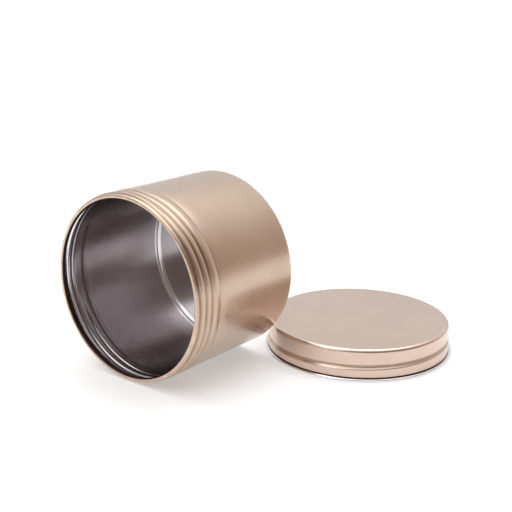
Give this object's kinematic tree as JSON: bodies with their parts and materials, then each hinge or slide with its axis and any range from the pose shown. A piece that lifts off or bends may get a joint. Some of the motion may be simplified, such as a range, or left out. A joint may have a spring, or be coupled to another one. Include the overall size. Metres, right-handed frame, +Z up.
{
  "type": "screw-lid candle tin",
  "caption": "Round drawn aluminium tin with a rolled screw neck, lying on its side, and its flat screw lid with a foam sealing disc beside it.",
  "frame": {"origin": "on the standing surface, below the middle of the box around the tin and its lid", "axes": "+Z up from the standing surface; the tin lies along Y with its open mouth towards -Y and its base towards +Y; the lid lies flat on the +X side, its top facing +Z"},
  "size_m": [0.1082, 0.111, 0.0643],
  "materials": {
    "tin_lacquer": "satin",
    "lid_lacquer": "satin",
    "liner_foam": "matte"
  },
  "bodies": {
    "tin": {"tin_body": "tin_lacquer"},
    "liner": {"lid_liner": "liner_foam"},
    "lid": {"lid_shell": "lid_lacquer"}
  },
  "joints": [
    {"name": "lid_lift", "type": "slide", "parent": "tin", "child": "liner", "axis": [0.3638, 0.5297, 0.7662], "range_m": [0, 0.09]},
    {"name": "lid_turn", "type": "hinge", "parent": "liner", "child": "lid", "pos_m": [0.0201, 0.02142, 0.005], "axis": [0, 0, 1], "continuous": true}
  ]
}
